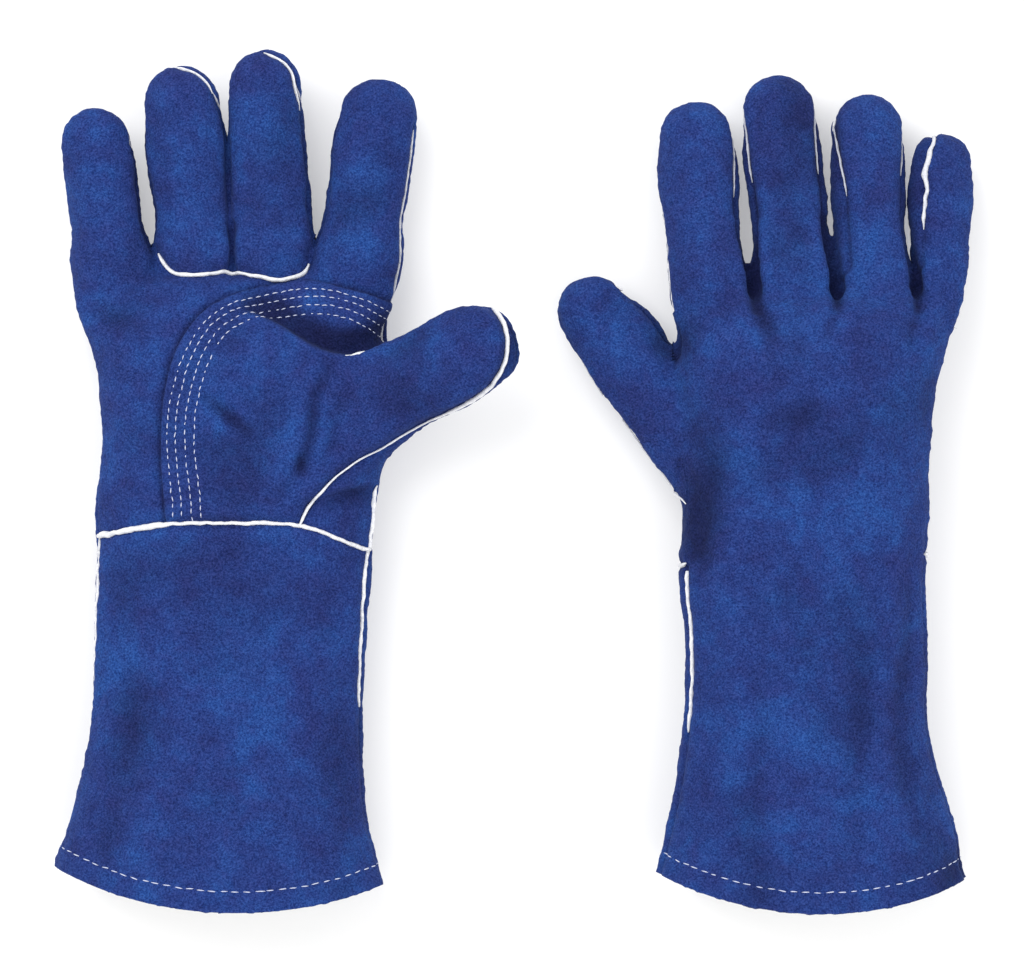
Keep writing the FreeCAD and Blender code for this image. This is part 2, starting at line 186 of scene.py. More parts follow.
STALL_REACH = 30.0  # how far from its axis a stall can matter

# Plan curves over the palm. The wrist seam gives Y over X; the others are points.
WRIST_X = (-75, -57, -26, 0, 29, 56, 75)
WRIST_Y = (-3, -2, 2.9, 3.2, 2.1, -7.5, -7.5)
PATCH_EDGE = ((-27, -12), (-27, 2.5), (-29, 33), (-28, 54), (-22, 76.5), (-11.5, 91), (5, 99.4),
              (27.7, 102.3), (48, 100.2), (64, 95.2), (82, 88))
BASE_WELT = ((-31.5, 117), (-29.3, 112.6), (-26, 107.8), (-17.8, 106), (-1.2, 107.4), (7, 106.2),
             (23.6, 104.8), (29, 106.8), (31, 110), (31.5, 117))
# The thumb's front seam, along the thumb and across it, from its base.
THUMB_SEAM = ((-62, 46), (-40.2, 32.2), (-34.4, 27.8), (-26.7, 23.7), (-17.2, 20.4), (-7.6, 18.4), (7.7, 17),
              (23.3, 17.2), (40.3, 17.4), (47.9, 16.7), (55.1, 15.1), (61.5, 12.5), (66.6, 8.7), (70.3, 3.3),
              (72.3, -2.2), (72.2, -8.0), (69.6, -12.6), (66.0, -15.6), (61.5, -17.6), (58, -22), (70, -45),
              (111, -114))
CROTCH_WELT = ((44.5, 71.6), (51, 71.4), (59, 73.2))
PATCH_ROWS = (3.4, 6.9, 10.8, 14.6)  # the patch's rows of stitching, inward from its edge
HEM_ROW = 8.6  # the hem's row, inward from the hem
PATCH_STITCH = (2.1, 1.15)  # a stitch's length and the gap after it
HEM_STITCH = (3.2, 1.6)
STITCH_STEP = 0.5  # between the points that a stitch follows
THREAD = 0.24  # the thread's half width

# ---- curves


def ease(x, xs, ys):
    """Smooth interpolation through points."""
    xs, ys = np.asarray(xs, float), np.asarray(ys, float)
    slope = np.gradient(ys, xs)
    x = np.clip(x, xs[0], xs[-1])
    i = np.clip(np.searchsorted(xs, x) - 1, 0, len(xs) - 2)
    step = xs[i + 1] - xs[i]
    t = (x - xs[i]) / step
    ends = (1 + 2 * t) * (1 - t) ** 2 * ys[i] + t * t * (3 - 2 * t) * ys[i + 1]
    return ends + step * t * (1 - t) * ((1 - t) * slope[i] - t * slope[i + 1])


def ramp(x, low, high):
    """0 below low, 1 above high, smooth between."""
    t = np.clip((x - low) / (high - low), 0, 1)
    return t * t * (3 - 2 * t)


def bump(distance, width):
    return np.exp(-((distance / width) ** 2))


def join(a, b, reach):
    """The lower of two fields, with the corner between them rounded off over a reach."""
    overlap = np.maximum(reach - np.abs(a - b), 0) / reach
    return np.minimum(a, b) - overlap * overlap * reach / 4


def rounded(points, spacing=3.0):
    """A smooth open curve through points, at even spacing."""
    points = np.asarray(points, float)
    along = np.concatenate([[0], np.cumsum(np.linalg.norm(np.diff(points, axis=0), axis=1))])
    stops = np.linspace(0, along[-1], int(along[-1] / spacing) + 2)
    return np.stack([ease(stops, along, column) for column in points.T], axis=1)


def plan_distance(curve, x, y):
    """Signed distance to a plan curve, positive on its right, and the share of the way along it."""
    best = np.full(x.shape, 1e9)
    signed = np.zeros(x.shape)
    share = np.zeros(x.shape)
    for number, (start, end) in enumerate(zip(curve[:-1], curve[1:])):
        dx, dy = end - start
        px, py = x - start[0], y - start[1]
        t = np.clip((px * dx + py * dy) / (dx * dx + dy * dy), 0, 1)
        squared = (px - t * dx) ** 2 + (py - t * dy) ** 2
        nearer = squared < best
        best = np.where(nearer, squared, best)
        signed = np.where(nearer, np.sqrt(squared) * np.sign(px * dy - py * dx), signed)
        share = np.where(nearer, (number + t) / (len(curve) - 1), share)
    return signed, share


def waves(p, shortest, longest, seed, count=26):
    """Smooth noise between about -1 and 1, as a sum of waves in a band of lengths."""
    draw = np.random.default_rng(seed)
    total = np.zeros(len(p))
    for _ in range(count):
        direction = draw.normal(size=3)
        direction /= np.linalg.norm(direction)
        length = shortest * (longest / shortest) ** draw.random()
        total += np.sin(p @ direction * (2 * math.pi / length) + draw.random() * 2 * math.pi)
    return total / math.sqrt(count / 2) / 1.6


# ---- the glove's shape


class Glove:
    """One glove's fields: where its surface is, and where its seams run."""

    def __init__(self, name):
        self.name = name
        self.side = 1 if name == "palmup" else -1
        wrist = next(joint for joint in frame["joints"] if joint["name"] == f"{name}_wrist_bend")
        x, y, _ = [1000 * value for value in wrist["pos_m"]]
        self.origin = np.array([x - self.side * TUBE[name][4][1], y, 0.0])
        self.mirror = np.array([self.side, 1, self.side])
        self.stalls = STALL[name]
        self.frames = {}
        for stall, row in self.stalls.items():
            f, p = math.radians(row.fan), math.radians(row.pitch)
            ahead = np.array([math.sin(f) * math.cos(p), math.cos(f) * math.cos(p), math.sin(p)])
            sideways = np.array([math.cos(f), -math.sin(f), 0])
            base = np.array([row.across, row.along, row.high])
            self.frames[stall] = (base, sideways, np.cross(sideways, ahead), ahead)
        base, sideways, _, ahead = self.frames["thumb"]
        forward = ahead[:2] / np.linalg.norm(ahead[:2])
        stretch = self.stalls["thumb"].length / STALL["palmup"]["thumb"].length
        seam = [base[:2] + forward * s * stretch + sideways[:2] * u for s, u in THUMB_SEAM]
        self.thumb_seam = rounded(seam)
        self.patch_edge = rounded(PATCH_EDGE)
        self.base_welt = rounded(BASE_WELT, 1.5)
        self.folds = [(*fold[:2], np.broadcast_to(fold[2], 2), rounded(fold[3])) for fold in FOLDS[name]]

    def world(self, p):
        """Points in the glove's frame, in millimetres, as points in the row frame, in metres."""
        return (p * self.mirror + self.origin) / 1000

    def above_floor(self, p, height):
        """Points kept at least a height above the floor."""
        return np.column_stack([p[:, :2], self.side * np.maximum(p[:, 2] * self.side, height)])

    def tube(self, x, y, z):
        """Signed distance to the cuff and hand, about right near the surface."""
        rows = np.array(TUBE[self.name]).T
        across, wide, deep, high = [ease(y, rows[0], row) for row in rows[1:]]
        dx = np.abs(x - across) / wide
        dz = (z - high) / (deep * (1 - 0.17 * ramp(y, 76, 108)))  # thinner at the knuckles
        power = np.where(dz * self.side < 0, 2.5, 2.15)  # flatter where it lies on its own weight
        dz = np.abs(dz)
        size = (dx**power + dz**power) ** (1 / power) + 1e-6
        slope = np.hypot((dx / size) ** (power - 1) / wide, (dz / size) ** (power - 1) / deep)
        return -join((1 - size) / slope, rows[0][-1] - y, CAP_JOIN)

    def in_stall(self, stall, x, y, z):
        """Across, out of the palm and along a stall, with its half width and half depth there."""
        base, *axes = self.frames[stall]
        row = self.stalls[stall]
        dx, dy, dz = x - base[0], y - base[1], z - base[2]
        u, v, s = [dx * axis[0] + dy * axis[1] + dz * axis[2] for axis in axes]
        places = (row.root, 0, row.length / 3, row.length * 2 / 3, row.length - row.tip)
        # its root, inside the hand, is narrower than its base
        wide = ease(s, places, (row.base * 0.55, row.base, row.third, row.two_thirds, row.tip))
        return u, v, s, wide, wide * row.ratio

    def stall(self, stall, x, y, z):
        """Signed distance to a finger or thumb."""
        u, v, s, wide, deep = self.in_stall(stall, x, y, z)
        row = self.stalls[stall]
        less, more = FULLER[self.name].get(stall, (0, 0))
        along = ramp(s, -4, 18) * (1 - ramp(s, row.length - 60, row.length - 8))
        wide = wide + np.where(u < 0, less, more) * ramp(np.abs(u), 0, 8) * along
        beyond = np.maximum(s - (row.length - row.tip), 0)
        size = np.sqrt((u / wide) ** 2 + (v / deep) ** 2 + (beyond / row.tip) ** 2) + 1e-6
        slope = np.sqrt(u * u / wide**4 + v * v / deep**4 + beyond**2 / row.tip**4) / size + 1e-6
        return np.maximum((size - 1) / slope, row.root - s)

    @staticmethod
    def reach(stall, y):
        """How far the corner is rounded off where a stall joins the rest."""
        return 9.0 if stall == "thumb" else 3.5 + 2.5 * (1 - ramp(y, 106, 120))

    def at(self, p):
        """Signed distance to the whole glove, with its crotches rounded and its underside flat."""
        x, y, z = p.T
        total = self.tube(x, y, z)
        for stall in STALLS:
            total = join(total, self.stall(stall, x, y, z), self.reach(stall, y))
        return -join(-total, z * self.side, SOLE_JOIN)

    def seam_shift(self, nearest, u, tip):
        """How far the front seams sit towards the palm, where they show beside the fingers."""
        if self.name == "palmdown":
            return 0.0
        index = 3.2 * (nearest == 3) * ramp(u, 0, 8) * (1 - ramp(tip, -22, -8))
        crescent = 5.0 * ((nearest == 1) | (nearest == 2)) * ramp(u, -4, 4) * ramp(tip, -24, -12)
        walls = -3.0 * ramp(np.abs(u), 0, 8) * ((nearest != 3) | (u < 0)) * (1 - ramp(tip, -34, -16))
        return index + crescent + walls

    def normals(self, p):
        """The way out of the glove at points, and the signed distance there."""
        here = self.at(p)
        slope = np.stack([self.at(p + NORMAL_STEP * axis) - here for axis in np.eye(3)], axis=1)
        return slope / np.linalg.norm(slope, axis=1, keepdims=True), here

    def box(self, margin):
        """The glove's corners, with a margin, from its CAD nodes."""
        nodes = [name for name in frame["nodes"] if name.startswith(self.name)]
        corners = np.array([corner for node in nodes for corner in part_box(node)]) * 1000
        corners = (corners - self.origin) * self.mirror
        return corners.min(0) - margin, corners.max(0) + margin


# ---- surfaces


def grid_field(glove, low, high, cell):
    """The field on a grid; each stall is worked out only near itself."""
    axes = [np.arange(a, b + cell, cell) for a, b in zip(low, high)]
    x, y, z = np.meshgrid(*axes, indexing="ij", sparse=True)
    total = glove.tube(x, y, z) + 0 * x
    for stall in STALLS:
        base, _, _, ahead = glove.frames[stall]
        ends = base + np.outer((glove.stalls[stall].root, glove.stalls[stall].length), ahead)
        spans = zip(axes, ends.min(0) - STALL_REACH, ends.max(0) + STALL_REACH)
        part = tuple(slice(*np.searchsorted(axis, limits)) for axis, *limits in spans)
        px, py, pz = x[part[0]], y[:, part[1]], z[:, :, part[2]]
        total[part] = join(total[part], glove.stall(stall, px, py, pz), glove.reach(stall, py))
    return axes, -join(-total, z * glove.side + 0 * total, SOLE_JOIN)


def surface(glove, cell, offset=0.0):
    """Points and triangles where the field equals an offset, one point in each grid cell that it crosses."""
    low, high = glove.box(4.0)
    axes, values = grid_field(glove, low, high, cell)
    values = values - offset
    shape = np.array(values.shape) - 1
    inside = values < 0
    cells, spots, quads = [], [], []
    for axis in range(3):
        index = np.argwhere(np.diff(inside, axis=axis))
        others = [other for other in range(3) if other != axis]
        index = index[np.all((index[:, others] > 0) & (index[:, others] < shape[others]), axis=1)]
        after = index.copy()
        after[:, axis] += 1
        a, b = values[tuple(index.T)], values[tuple(after.T)]
        spot = np.stack([axes[i][index[:, i]] for i in range(3)], axis=1)
        spot[:, axis] += cell * a / (a - b)
        ring = []
        for step in ((0, 0), (1, 0), (1, 1), (0, 1)):
            corner = index.copy()
            corner[:, others] -= step
            ring.append(np.ravel_multi_index(tuple(corner.T), tuple(shape)))
        cells += ring
        spots += [spot] * 4
        ring = np.stack(ring, axis=1)
        outward = (a < 0) == (axis != 1)
        quads.append(np.where(outward[:, None], ring, ring[:, ::-1]))
    cells, spots = np.concatenate(cells), np.concatenate(spots)
    used, place = np.unique(cells, return_inverse=True)
    share = np.bincount(place)
    points = np.stack([np.bincount(place, weights=column) / share for column in spots.T], axis=1)
    quads = np.searchsorted(used, np.concatenate(quads))
    for _ in range(2):
        points = relaxed(points, quads)
        normal, here = glove.normals(points)
        points = points - (here - offset)[:, None] * normal
    return points, halved(points, quads)


def relaxed(points, quads, share=0.5):
    """Points moved towards the middle of their neighbours."""
    start, end = np.concatenate([quads[:, [i, (i + 1) % 4]] for i in range(4)]).T
    count = np.maximum(np.bincount(start, minlength=len(points)), 1)
    total = np.stack([np.bincount(start, weights=column[end], minlength=len(points)) for column in points.T])
    middle = np.where((count > 2)[:, None], (total / count).T, points)
    return points + share * (middle - points)


def halved(points, quads):
    """Quads as triangles, split along the shorter diagonal."""
    a, b, c, d = quads.T
    short = np.linalg.norm(points[a] - points[c], axis=1) < np.linalg.norm(points[b] - points[d], axis=1)
    one = np.where(short, [a, b, c], [a, b, d]).T
    two = np.where(short, [a, c, d], [b, c, d]).T
    return np.concatenate([one, two])


def crossings(table, faces, value, sign):
    """Which edges of the triangles a value's zero line crosses, the new row on each, and the new rows."""
    edges = faces[:, [[0, 1], [1, 2], [2, 0]]]
    crossed = sign[edges[..., 0]] * sign[edges[..., 1]] < 0
    pairs = np.sort(edges[crossed], axis=1)
    keys, place = np.unique(pairs[:, 0] * len(table) + pairs[:, 1], return_inverse=True)
    a, b = keys // len(table), keys % len(table)
    t = (value[a] / (value[a] - value[b]))[:, None]
    return crossed, place, table[a] + t * (table[b] - table[a])


def cut(table, faces, value, near=0.12):
    """Splits triangles where a value at the points changes sign, so that its zero line runs along edges.

    A row of the table is a point and whatever else is carried to the new points.
    """
    sign = np.sign(np.where(np.abs(value) < near, 0, value))
    crossed, place, rows = crossings(table, faces, value, sign)
    number = np.full(crossed.shape, -1)
    number[crossed] = len(table) + place
    table = np.concatenate([table, rows])
    count = crossed.sum(1)
    one, two = np.where(count == 1)[0], np.where(count == 2)[0]
    edge = crossed[one].argmax(1)
    a, b, c = faces[one, edge], faces[one, (edge + 1) % 3], faces[one, (edge + 2) % 3]
    m = number[one, edge]
    quiet = (~crossed[two]).argmax(1)
    d, e, f = faces[two, quiet], faces[two, (quiet + 1) % 3], faces[two, (quiet + 2) % 3]
    me, md = number[two, (quiet + 1) % 3], number[two, (quiet + 2) % 3]
    parts = [(a, m, c), (m, b, c), (f, md, me), (md, d, e), (md, e, me)]
    return table, np.concatenate([faces[count == 0]] + [np.stack(part, axis=1) for part in parts])


def vertex_normals(points, faces):
    """Area-weighted normals."""
    a, b, c = points[faces[:, 0]], points[faces[:, 1]], points[faces[:, 2]]
    flat = np.cross(b - a, c - a)
    total = np.zeros_like(points)
    for corner in range(3):
        for i in range(3):
            total[:, i] += np.bincount(faces[:, corner], weights=flat[:, i], minlength=len(points))
    return total / np.maximum(np.linalg.norm(total, axis=1, keepdims=True), 1e-12)


def contour(table, faces, value):
    """The zero line of a value over a surface, as runs of table rows in order."""
    _, place, rows = crossings(table, faces, value, np.where(value > 0, 1, -1))
    links = {}
    for one, two in place.reshape(-1, 2).tolist():
        links.setdefault(one, []).append(two)
        links.setdefault(two, []).append(one)
    runs, seen = [], set()
    for start in [node for node, ends in links.items() if len(ends) == 1] + list(links):
        if start in seen:
            continue
        run, ahead = [start], True
        while ahead:
            seen.add(run[-1])
            ahead = [node for node in links[run[-1]] if node not in seen]
            run += ahead[:1]
        if len(run) > 2 and start in links[run[-1]]:
            run.append(start)
        runs.append(rows[run])
    return runs


def shell(points, normals, faces, thick):
    """A closed skin on the chosen triangles: points, triangles, a normal for each corner, and rows used."""
    used, faces = np.unique(faces, return_inverse=True)
    faces = faces.reshape(-1, 3)
    count = len(used)
    edges = faces[:, [[0, 1], [1, 2], [2, 0]]].reshape(-1, 2)
    border = edges[~np.isin(edges[:, 0] * count + edges[:, 1], edges[:, 1] * count + edges[:, 0])]
    a, b = border.T
    rim = np.concatenate([np.stack([b, a, a + count], axis=1), np.stack([b, a + count, b + count], axis=1)])
    outer, normal = points[used], normals[used]
    both = np.concatenate([outer, outer - np.reshape(thick, (-1, 1)) * normal])
    sides = np.cross(both[rim[:, 1]] - both[rim[:, 0]], both[rim[:, 2]] - both[rim[:, 0]])
    sides /= np.maximum(np.linalg.norm(sides, axis=1, keepdims=True), 1e-12)
    corner = np.concatenate([normal[faces], -normal[faces[:, ::-1]], np.repeat(sides[:, None], 3, axis=1)])
    return both, np.concatenate([faces, faces[:, ::-1] + count, rim]), corner, np.concatenate([used, used])


# ---- seams, folds and panels


def marks(glove, p):
    """Signed distances from points to the glove's seams and cuts, by name."""
    x, y, z = p.T
    nearest = np.stack([glove.stall(name, x, y, z) for name in FINGERS]).argmin(0)
    places = [glove.in_stall(name, x, y, z) for name in FINGERS]
    u, v, s = [np.choose(nearest, [place[k] for place in places]) for k in range(3)]
    length = np.choose(nearest, [glove.stalls[name].length for name in FINGERS])
    walled = np.choose(nearest * 2 + (u > 0), [side in WALLED[name] for name in FINGERS for side in (-1, 1)])
    turn = ramp(y, 92, 104)  # from the hand's seams to the fingers'
    height = np.interp(y, (0, 118), SIDE_SEAM[glove.name])
    height = height + 3 * glove.side * ramp(x, 0, 30) * (1 - ramp(y, 30, 70))
    facing = (1 - turn) * (z - height) + turn * v
    wall = WALL * turn * walled * ramp(s, -8, -2) * (1 - ramp(s, length - 38, length - 8))
    facing = facing - turn * glove.seam_shift(nearest, u, s - length)
    rear = -facing - wall
    if glove.name == "palmdown":  # the little and ring fingers' walls show, up to a seam in from their sides
        little = 26 - 18.7 * ramp(s, -4, 12) - 3.6 * ramp(s, 50, 66)
        ring = 26 - 15.0 * ramp(s, -4, 12) + 3.5 * ramp(s, 40, 70)
        for finger, edge in enumerate((little, ring)):
            rear = np.where((nearest == finger) & (turn > 0), np.minimum(rear, edge - u), rear)
    _, thumb_v, thumb_s, _, _ = glove.in_stall("thumb", x, y, z)
    on_thumb = glove.stall("thumb", x, y, z)
    cx, cy, radius = HEM[glove.name]
    return SimpleNamespace(
        hem=np.where(y < cy, radius - np.hypot(x - cx, y - cy), 50),
        wrist=y - ease(x, WRIST_X, WRIST_Y),
        cuff=y - CUFF_CUT,
        front=facing - wall,
        rear=rear,
        finger=y - FINGER_CUT,
        thumb_seam=-plan_distance(glove.thumb_seam, x, y)[0],
        thumb_side=thumb_v + 1,
        thumb_cut=thumb_s - THUMB_CUT[glove.name],
        thumb_zone=glove.tube(x, y, z) - on_thumb,
        thumb_skin=THUMB_SKIN - on_thumb,
        patch=np.maximum(
            plan_distance(glove.patch_edge, x, y)[0], np.where(on_thumb < 3, thumb_s - 6, -99)
        ),
        base=plan_distance(glove.base_welt, x, y)[0],
        nearest=nearest,
        u=u,
        s=s,
        tip=s - length,
        up=np.minimum(facing + 2, 20),
        x=x,
        y=y,
    )


def palm_side(m):
    """Positive on leather that belongs to the palm's side of the seams."""
    hand = np.minimum(m.front, m.thumb_seam)
    thumb = np.minimum(m.thumb_seam, m.thumb_side)
    return np.where(m.thumb_zone > 0, thumb, hand)


def panels(glove, points, faces):
    """The skin cut along its seams: points, triangles, and each triangle's panel and patch share."""
    m = vars(marks(glove, points))
    del m["nearest"]
    table = np.column_stack([points, *m.values()])
    column = {name: 3 + i for i, name in enumerate(m)}

    def sever(name, where=None, shift=0.0):
        nonlocal table, faces
        view = SimpleNamespace(**{key: table[:, i] for key, i in column.items()})
        value = getattr(view, name) - shift
        if where is not None:
            value = np.where(where(view), value, np.abs(value) + 1)
        table, faces = cut(table, faces, value)

    sever("hem")
    faces = faces[table[faces, column["hem"]].mean(1) > 0]
    sever("wrist", lambda m: m.front > -3)
    sever("cuff", lambda m: m.front < 3)
    sever("front", lambda m: m.thumb_zone < 3)
    sever("rear", lambda m: m.thumb_zone < 3)
    sever("finger")
    sever("thumb_seam", lambda m: (m.front > -3) | (m.thumb_zone > -2) & (m.thumb_side > -4))
    sever("thumb_side", lambda m: m.thumb_zone > -1)
    sever("thumb_cut", lambda m: m.thumb_skin > -3)
    sever("thumb_skin", lambda m: m.thumb_cut > -2)
    sever("thumb_zone", lambda m: m.thumb_seam < 60)
    for shift in (0, 0.35, 1.0):
        sever("patch", lambda m: (m.front > -2) | (m.thumb_zone > 0), shift)

    middle = SimpleNamespace(**{name: table[faces, i].mean(1) for name, i in column.items()})
    centre = table[faces, :3].mean(1)
    nearest = np.stack([glove.stall(name, *centre.T) for name in FINGERS]).argmin(0)
    palm = palm_side(middle) > 0
    label = np.where(palm, "palm_panel", "hand_back").astype("U16")
    wing = ~palm & ((middle.thumb_zone > 0) | (middle.front > 0) & (middle.wrist > 0) & (middle.up > 0))
    label[wing & (middle.finger < 0)] = "thumb_root"
    low = (middle.thumb_zone < 0) & np.where(middle.front > 0, middle.wrist < 0, middle.cuff < 0)
    label[low] = np.where(middle.front[low] > 0, "cuff_front", "cuff_back")
    thumb = (middle.thumb_cut > 0) & (middle.thumb_skin > 0)
    label[thumb] = np.where(palm[thumb], "thumb_front", "thumb_back")
    for number, name in enumerate(FINGERS):
        here = (middle.finger > 0) & (nearest == number) & ~thumb
        label[here] = f"{name}_walls"
        label[here & (middle.front > 0)] = f"{name}_front"
        label[here & (middle.rear > 0)] = f"{name}_back"
    patched = (middle.patch > 0) & (label == "palm_panel")
    return table[:, :3], faces, label, patched


def relief(glove, p, m, fine=1.0):
    """How far the leather stands out from the plain form: folds, sewn-in seams and its own unevenness."""
    x, y, _ = p.T
    palm = ramp(m.up, -1, 5)
    lift = 0.75 * waves(p, 38, 90, 3 + glove.side) + 0.3 * waves(p, 12, 30, 5 + glove.side)
    lift += 0.2 * fine * waves(p, 2.6, 6, 7 + glove.side)
    for side, depth, widths, line in glove.folds:
        away, share = plan_distance(line, x, y)
        here = palm if side > 0 else 1 - palm
        width = np.where(away < 0, *widths)
        ends = np.sin(np.pi * np.clip(share, 0.0, 1.0)) ** 0.6 * (np.abs(away) < 4 * width)
        lift -= depth * here * ends * (bump(away, width) - 0.3 * bump(np.abs(away) - 2 * width, width))
    for across, along, radius, out in NUDGES[glove.name]:
        lift += out * bump(np.hypot(x - across, y - along), radius)
    wing = (x > 0) & (m.wrist > 0) & (y < 72)  # the back's leather wraps round below the thumb with no seam
    back = 9 * (1 - palm)
    seams = [
        np.abs(m.wrist) + back,
        np.where((m.thumb_zone < 0) & ~wing, np.minimum(np.abs(m.front), np.abs(m.rear)), 99),
        np.where((m.wrist > 0) & (m.thumb_side > -3), np.abs(m.thumb_seam) + back * (m.thumb_zone < 0), 99),
        np.where(m.thumb_zone > 0, np.abs(m.thumb_side), 99),
        np.abs(m.base) + back,
    ]
    near = np.min(seams, axis=0)
    lift += 0.55 * bump(near - 4.5, 3.0) - bump(near, 1.5)  # full beside a seam, drawn in along it
    swell = palm * ((m.nearest == 1) | (m.nearest == 2)) * bump(y - 117, 8)
    outside = np.where(m.patch < 0, bump(m.patch + 0.8, 1.6), 0) * palm * (m.wrist > 0)
    return lift + 1.5 * swell - 0.9 * outside


def lifted(glove, p, m, fine=1.0, raised=0.0):
    """Points of the plain form moved out to the leather's face, and kept above the floor."""
    normal, _ = glove.normals(p)
    moved = p + (relief(glove, p, m, fine) + raised)[:, None] * normal
    return glove.above_floor(moved, FLOOR_GAP), normal


def patch_lift(m):
    """How thick the palm patch and thumb front are: rounded off at the cut edge and pinched into seams."""
    t = np.clip(m.patch, 0, 1)
    side = np.abs(m.front) / 3 + 4 * (m.thumb_zone > 0)
    seam = np.minimum(np.minimum(np.abs(m.wrist), np.abs(m.thumb_seam)), side)
    return PATCH * np.sqrt(1 - (1 - t) ** 2) * (0.2 + 0.8 * ramp(seam, 0, 4))


# ---- Blender pieces


def piece(glove, name, points, faces, material, tone, corner=None):
    """A mesh object from points and triangles in the glove's frame.

    Its material works from the points' own places, kept in metres as "rest", and from their painted shade, a
    share that darkens the colour where shade falls.
    """
    data = bpy.data.meshes.new(name)
    data.vertices.add(len(points))
    data.vertices.foreach_set("co", glove.world(points).astype(np.float32).ravel())
    data.loops.add(faces.size)
    data.loops.foreach_set("vertex_index", np.ascontiguousarray(faces, np.int32).ravel())
    data.polygons.add(len(faces))
    data.polygons.foreach_set("loop_start", np.arange(0, faces.size, 3, dtype=np.int32))
    data.update(calc_edges=True)
    rest = data.attributes.new("rest", "FLOAT_VECTOR", "POINT").data
    rest.foreach_set("vector", (points / 1000).astype(np.float32).ravel())
    # painted shade at each point, stored as a point attribute for the materials
    painted_shading = np.broadcast_to(tone, len(points)).astype(np.float32)
    data.attributes.new("tone", "FLOAT", "POINT").data.foreach_set("value", painted_shading)
    data.polygons.foreach_set("use_smooth", np.ones(len(faces), bool))
    data.materials.append(material)
    if corner is not None:
        data.normals_split_custom_set((corner * glove.mirror).reshape(-1, 3).tolist())
    made = bpy.data.objects.new(name, data)
    bpy.context.scene.collection.objects.link(made)
    return made


def bend(glove, made, part):
    """Makes a piece on the hand follow the hand's body; for any other part it works out the ends of the
    joint's span and bakes the piece's placing into its points.
    """
    hand = f"{glove.name}_hand"
    if part == "hand":
        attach(made, hand)
        return
    if part == "cuff":
        ends = np.array([[0, CUFF_CUT, 0], [0, CUFF_BENT, 0]])
    elif part == "thumb":
        base, _, _, ahead = glove.frames["thumb"]
        ends = base + np.outer((THUMB_CUT[glove.name], THUMB_CUT[glove.name] + THUMB_REACH), ahead)
    else:
        ends = np.array([[0, FINGER_CUT, 0], [0, FINGER_BENT, 0]])
    start, end = glove.world(ends)
    tuple(start)
    tuple(end)
    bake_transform(made)


def part_of(m):
    """The part of the glove that each point moves with."""
    part = np.full(len(m.cuff), "hand", "U6")
    part[m.cuff < 0] = "cuff"
    for number, name in enumerate(FINGERS):
        part[(m.finger > 0) & (m.nearest == number)] = name
    part[(m.thumb_cut > 0) & (m.thumb_skin > 0)] = "thumb"
    return part


def leather(glove, material):
    """The glove's leather panels, each a closed skin cut along its seams."""
    points, faces = surface(glove, CELL)
    points, faces, label, patched = panels(glove, points, faces)
    m = marks(glove, points)
    moved, plain = lifted(glove, points, m)
    lift = patch_lift(m)
    moved = glove.above_floor(moved, FLOOR_GAP + lift * (palm_side(m) > 0))
    normal = vertex_normals(moved, faces)
    # painted shade for the leather's colour
    tone = painted_shading(glove, points, m)
    raised = glove.above_floor(moved + lift[:, None] * plain, FLOOR_GAP)
    raised_normal = vertex_normals(raised, faces)
    groups = {name: (label == name, moved, normal) for name in np.unique(label)}
    groups["thumb_front"] = (label == "thumb_front", raised, raised_normal)
    groups["palm_patch"] = (patched, raised, raised_normal)
    for name, (chosen, at, facing) in groups.items():
        thick = LEATHER if name != "palm_patch" else lift[np.unique(faces[chosen])] * 0.97
        body, triangles, corner, used = shell(at, facing, faces[chosen], thick)
        made = piece(glove, f"{glove.name}_{name}_leather", body, triangles, material, tone[used], corner)
        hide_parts(f"{glove.name}_{name}")
        bend(glove, made, "hand" if name in ON_HAND else name.split("_")[0])


def painted_shading(glove, p, m):
    """Painted shade: darker in the seam grooves and folds, on the walls between the fingers and along the
    rear seams, and a painted shadow line beside the palm patch.
    """
    palm = ramp(m.up, -1, 5) * (m.wrist > 0)
    # painted shadow: a dark line just outside the palm patch's edge, where its step casts shade
    painted_patch_shadow = 0.9 * bump(m.patch + 0.5, 0.9) * palm * (m.thumb_zone < 0)
    # painted shade on the side walls between the fingers
    walls = 0.4 * ramp(np.minimum(-m.front, -m.rear), 0, 2) * ramp(m.finger, -4, 12)
    # painted shade along the rear seam groove on the backs of the fingers
    seam = 0.5 * bump(m.rear, 0.8) * ramp(m.finger, -6, 4) * (1 - ramp(m.up, -1, 5))
    # painted shade where folds and seams draw the leather in
    return np.clip(np.maximum(-relief(glove, p, m, 0.0) / 2.6, painted_patch_shadow) + walls + seam, -0.4, 1.0)


def lining(glove, material):
    """The fleece inside the leather, one closed skin for each part, open at the cuff's mouth."""
    points, faces = surface(glove, LINING_CELL, -LINING_GAP)
    m = marks(glove, points)
    cuts = (m.hem - LINING_HEM, m.cuff, m.finger, m.thumb_cut, m.thumb_skin - LINING_GAP)
    table = np.column_stack([points, *cuts])
    for column in range(3, table.shape[1]):
        table, faces = cut(table, faces, table[:, column])
    faces = faces[table[faces, 3].mean(1) > 0]
    points = table[:, :3]
    out, _ = glove.normals(points)
    face = points + LINING_GAP * out
    moved = points + relief(glove, face, marks(glove, face), 0.0)[:, None] * out
    moved = glove.above_floor(moved, LINING_GAP - 0.6)
    normal = vertex_normals(moved, faces)
    centre = points[faces].mean(1)
    middle = marks(glove, centre)
    middle.thumb_skin -= LINING_GAP
    part = part_of(middle)
    for name in np.unique(part):
        body, triangles, corner, _ = shell(moved, normal, faces[part == name], FLEECE)
        made = piece(glove, f"{glove.name}_{name}_fleece", body, triangles, material, 0.0, corner)
        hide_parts(f"{glove.name}_{name}_lining")
        bend(glove, made, name)


